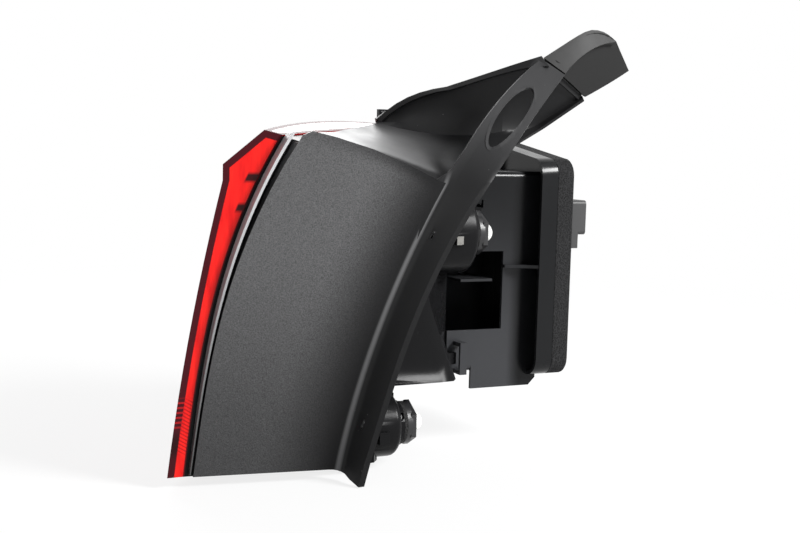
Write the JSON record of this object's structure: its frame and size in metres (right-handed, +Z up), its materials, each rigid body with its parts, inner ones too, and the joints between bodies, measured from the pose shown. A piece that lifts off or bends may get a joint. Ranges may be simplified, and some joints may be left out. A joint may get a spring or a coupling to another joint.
{
  "type": "vehicle_tail_light_cluster",
  "caption": "Tail light cluster for the rear corner of a car, with a red lens, a black side cover that ends in an upswept horn, plug-in bulb holders and a foam-sealed carrier.",
  "frame": {"origin": "where the axis of the fixing stud crosses the sealing face of the foam gasket", "axes": "+X points into the car body along the fixing stud, -X out of the back of the car, -Y to the tailgate, +Z up as fitted"},
  "size_m": [0.3906, 0.19, 0.3322],
  "materials": {
    "red_lens": "moulded clear red, polished outside",
    "clear_lens": "moulded clear, polished outside",
    "guide": "clear acrylic rod",
    "bezel": "fine grain",
    "bright": "metallised plastic",
    "board": "solder mask",
    "led": "cast resin",
    "housing": "as moulded, satin",
    "carrier": "as moulded, glossy",
    "foam": "closed-cell foam",
    "cover": "grained panel, smooth flange",
    "cap": "soft satin",
    "holder": "fine grain",
    "white_insert": "smooth",
    "bulb_glass": "clear",
    "contact": "tinned",
    "connector": "fine grain",
    "steel": "zinc plated",
    "nylon": "smooth"
  },
  "bodies": {
    "root": {"outer_lens": "red_lens", "clear_window": "clear_lens", "reflex_reflector": "red_lens", "light_guide": "guide", "inner_bezel": "bezel", "upper_reflector": "bright", "lower_reflector": "bright", "led_board": "board", "leds": "led", "lamp_housing": "housing", "rear_carrier": "carrier", "foam_gasket": "foam", "side_cover": "cover", "end_cap": "cap", "upper_socket": "holder", "lower_socket": "holder", "upper_seal": "foam", "lower_seal": "foam", "upper_insert": "white_insert", "lower_insert": "white_insert", "upper_bulb": "bulb_glass", "lower_bulb": "bulb_glass", "contact_strip": "contact", "harness_connector": "connector", "connector_pins": "contact", "fixing_stud": "steel", "locating_pin": "nylon", "vent_cap": "holder", "carrier_screws": "steel"}
  },
  "joints": []
}
